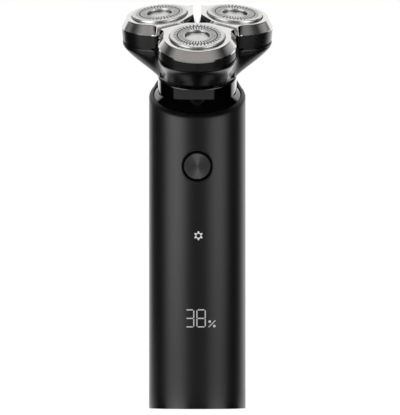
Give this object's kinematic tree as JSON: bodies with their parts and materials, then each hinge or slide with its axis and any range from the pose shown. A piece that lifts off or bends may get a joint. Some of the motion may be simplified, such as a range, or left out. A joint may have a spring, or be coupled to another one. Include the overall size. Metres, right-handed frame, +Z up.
{
  "type": "electric shaver",
  "caption": "Cordless rotary shaver: slim round handle with push button and lit display, slanted glossy neck, forward-leaning floating head with round cutters.",
  "frame": {"origin": "centre of the flat base, on the handle's axis", "axes": "+Z up along the handle, -Y towards the front with the button and display, +X to the right seen from the front"},
  "size_m": [0.0598, 0.0581, 0.1598],
  "materials": {
    "shell_black": "satin moulded plastic",
    "neck_gloss": "polished",
    "head_black": "fine satin",
    "inner_black": "moulded",
    "cap_silver": "satin plated",
    "guard_steel": "etched satin steel",
    "blade_steel": "ground steel",
    "button_metal": "spun dark metal",
    "button_rubber": "matte",
    "seal_rubber": "matte",
    "zinc_steel": "plated",
    "bearing_brass": "turned",
    "gear_white": "moulded acetal",
    "grey_plastic": "moulded",
    "light_plastic": "translucent",
    "board_green": "solder mask",
    "cell_wrap": "shrink wrap",
    "winding_copper": "enamelled copper on a steel core"
  },
  "bodies": {
    "handle": {"body_shell": "shell_black", "base_cap": "shell_black", "base_seal": "seal_rubber", "charge_port": "zinc_steel", "charge_port_tongue": "inner_black", "base_screw_left": "zinc_steel", "base_screw_right": "zinc_steel", "inner_chassis": "inner_black", "battery_cell": "cell_wrap", "battery_tab_bottom": "zinc_steel", "battery_tab_top": "zinc_steel", "circuit_board": "board_green", "display_module": "light_plastic", "icon_light_pipe": "light_plastic", "button_gasket": "button_rubber", "tact_switch": "grey_plastic", "motor_can": "zinc_steel", "motor_end_cap": "grey_plastic", "motor_bracket": "zinc_steel", "motor_screw_left": "zinc_steel", "motor_screw_right": "zinc_steel", "neck_collar": "neck_gloss", "neck_bearing": "bearing_brass"},
    "button": {"button_cap": "button_metal"},
    "rotor": {"motor_armature": "winding_copper", "motor_shaft": "zinc_steel", "drive_ball": "bearing_brass"},
    "drive": {"drive_shaft": "zinc_steel"},
    "stem": {"head_stem": "inner_black", "stem_seal": "seal_rubber"},
    "gimbal": {"gimbal_ring": "zinc_steel"},
    "head": {"head_housing": "head_black", "gear_plate": "inner_black", "pod_spring_plate": "zinc_steel"},
    "sun": {"centre_gear": "bearing_brass"},
    "spindle_1": {"spindle_gear_1": "gear_white"},
    "pod_1": {"pod_cap_1": "cap_silver", "pod_frame_1": "head_black", "cutter_guard_1": "guard_steel", "guard_hub_1": "guard_steel", "guard_retainer_1": "grey_plastic"},
    "cutter_1": {"cutter_blades_1": "blade_steel", "cutter_carrier_1": "gear_white"},
    "spindle_2": {"spindle_gear_2": "gear_white"},
    "pod_2": {"pod_cap_2": "cap_silver", "pod_frame_2": "head_black", "cutter_guard_2": "guard_steel", "guard_hub_2": "guard_steel", "guard_retainer_2": "grey_plastic"},
    "cutter_2": {"cutter_blades_2": "blade_steel", "cutter_carrier_2": "gear_white"},
    "spindle_3": {"spindle_gear_3": "gear_white"},
    "pod_3": {"pod_cap_3": "cap_silver", "pod_frame_3": "head_black", "cutter_guard_3": "guard_steel", "guard_hub_3": "guard_steel", "guard_retainer_3": "grey_plastic"},
    "cutter_3": {"cutter_blades_3": "blade_steel", "cutter_carrier_3": "gear_white"}
  },
  "joints": [
    {"name": "button_press", "type": "slide", "parent": "handle", "child": "button", "axis": [0, 1, 0], "range_m": [0, 0.0006], "stiffness_N_per_m": 900},
    {"name": "rotor_spin", "type": "hinge", "parent": "handle", "child": "rotor", "pos_m": [0, 0.00287, 0.1], "axis": [0, 0, 1], "continuous": true},
    {"name": "drive_spin", "type": "hinge", "parent": "handle", "child": "drive", "pos_m": [0, 0, 0.1244], "axis": [0, -0.3584, 0.9336], "continuous": true},
    {"name": "head_release", "type": "slide", "parent": "handle", "child": "stem", "axis": [0, -0.3584, 0.9336], "range_m": [0, 0.012]},
    {"name": "head_pitch", "type": "hinge", "parent": "stem", "child": "gimbal", "pos_m": [0, -0.0043, 0.1356], "axis": [1, 0, 0], "range_deg": [-2.5, 2.5], "stiffness_Nm_per_rad": 0.8},
    {"name": "head_roll", "type": "hinge", "parent": "gimbal", "child": "head", "pos_m": [0, -0.0043, 0.1356], "axis": [0, 0.9336, 0.3584], "range_deg": [-2.5, 2.5], "stiffness_Nm_per_rad": 0.8},
    {"name": "sun_spin", "type": "hinge", "parent": "head", "child": "sun", "pos_m": [0, -0.0043, 0.1356], "axis": [0, -0.3584, 0.9336], "continuous": true},
    {"name": "spindle_1_spin", "type": "hinge", "parent": "head", "child": "spindle_1", "pos_m": [0, -0.02221, 0.13623], "axis": [0, -0.3584, 0.9336], "continuous": true},
    {"name": "pod_1_rock", "type": "hinge", "parent": "head", "child": "pod_1", "pos_m": [0, -0.02379, 0.14033], "axis": [1, 0, 0], "range_deg": [-2.5, 2.5], "stiffness_Nm_per_rad": 0.25},
    {"name": "cutter_1_spin", "type": "hinge", "parent": "pod_1", "child": "cutter_1", "pos_m": [0, -0.02718, 0.14713], "axis": [0, -0.4462, 0.8949], "continuous": true},
    {"name": "spindle_2_spin", "type": "hinge", "parent": "head", "child": "spindle_2", "pos_m": [0.01429, 0.00089, 0.14509], "axis": [0, -0.3584, 0.9336], "continuous": true},
    {"name": "pod_2_rock", "type": "hinge", "parent": "head", "child": "pod_2", "pos_m": [0.01429, -0.00068, 0.1492], "axis": [-0.5, 0.8085, 0.3104], "range_deg": [-2.5, 2.5], "stiffness_Nm_per_rad": 0.25},
    {"name": "cutter_2_spin", "type": "hinge", "parent": "pod_2", "child": "cutter_2", "pos_m": [0.01492, -0.00305, 0.1564], "axis": [0.083, -0.312, 0.9465], "continuous": true},
    {"name": "spindle_3_spin", "type": "hinge", "parent": "head", "child": "spindle_3", "pos_m": [-0.01429, 0.00089, 0.14509], "axis": [0, -0.3584, 0.9336], "continuous": true},
    {"name": "pod_3_rock", "type": "hinge", "parent": "head", "child": "pod_3", "pos_m": [-0.01429, -0.00068, 0.1492], "axis": [-0.5, -0.8085, -0.3104], "range_deg": [-2.5, 2.5], "stiffness_Nm_per_rad": 0.25},
    {"name": "cutter_3_spin", "type": "hinge", "parent": "pod_3", "child": "cutter_3", "pos_m": [-0.01492, -0.00305, 0.1564], "axis": [-0.083, -0.312, 0.9465], "continuous": true}
  ],
  "couplings": [
    {"joint": "drive_spin", "follows": "rotor_spin", "ratio": 1},
    {"joint": "sun_spin", "follows": "rotor_spin", "ratio": 1},
    {"joint": "spindle_1_spin", "follows": "rotor_spin", "ratio": -0.69231},
    {"joint": "cutter_1_spin", "follows": "rotor_spin", "ratio": -0.69231},
    {"joint": "spindle_2_spin", "follows": "rotor_spin", "ratio": -0.69231},
    {"joint": "cutter_2_spin", "follows": "rotor_spin", "ratio": -0.69231},
    {"joint": "spindle_3_spin", "follows": "rotor_spin", "ratio": -0.69231},
    {"joint": "cutter_3_spin", "follows": "rotor_spin", "ratio": -0.69231}
  ]
}
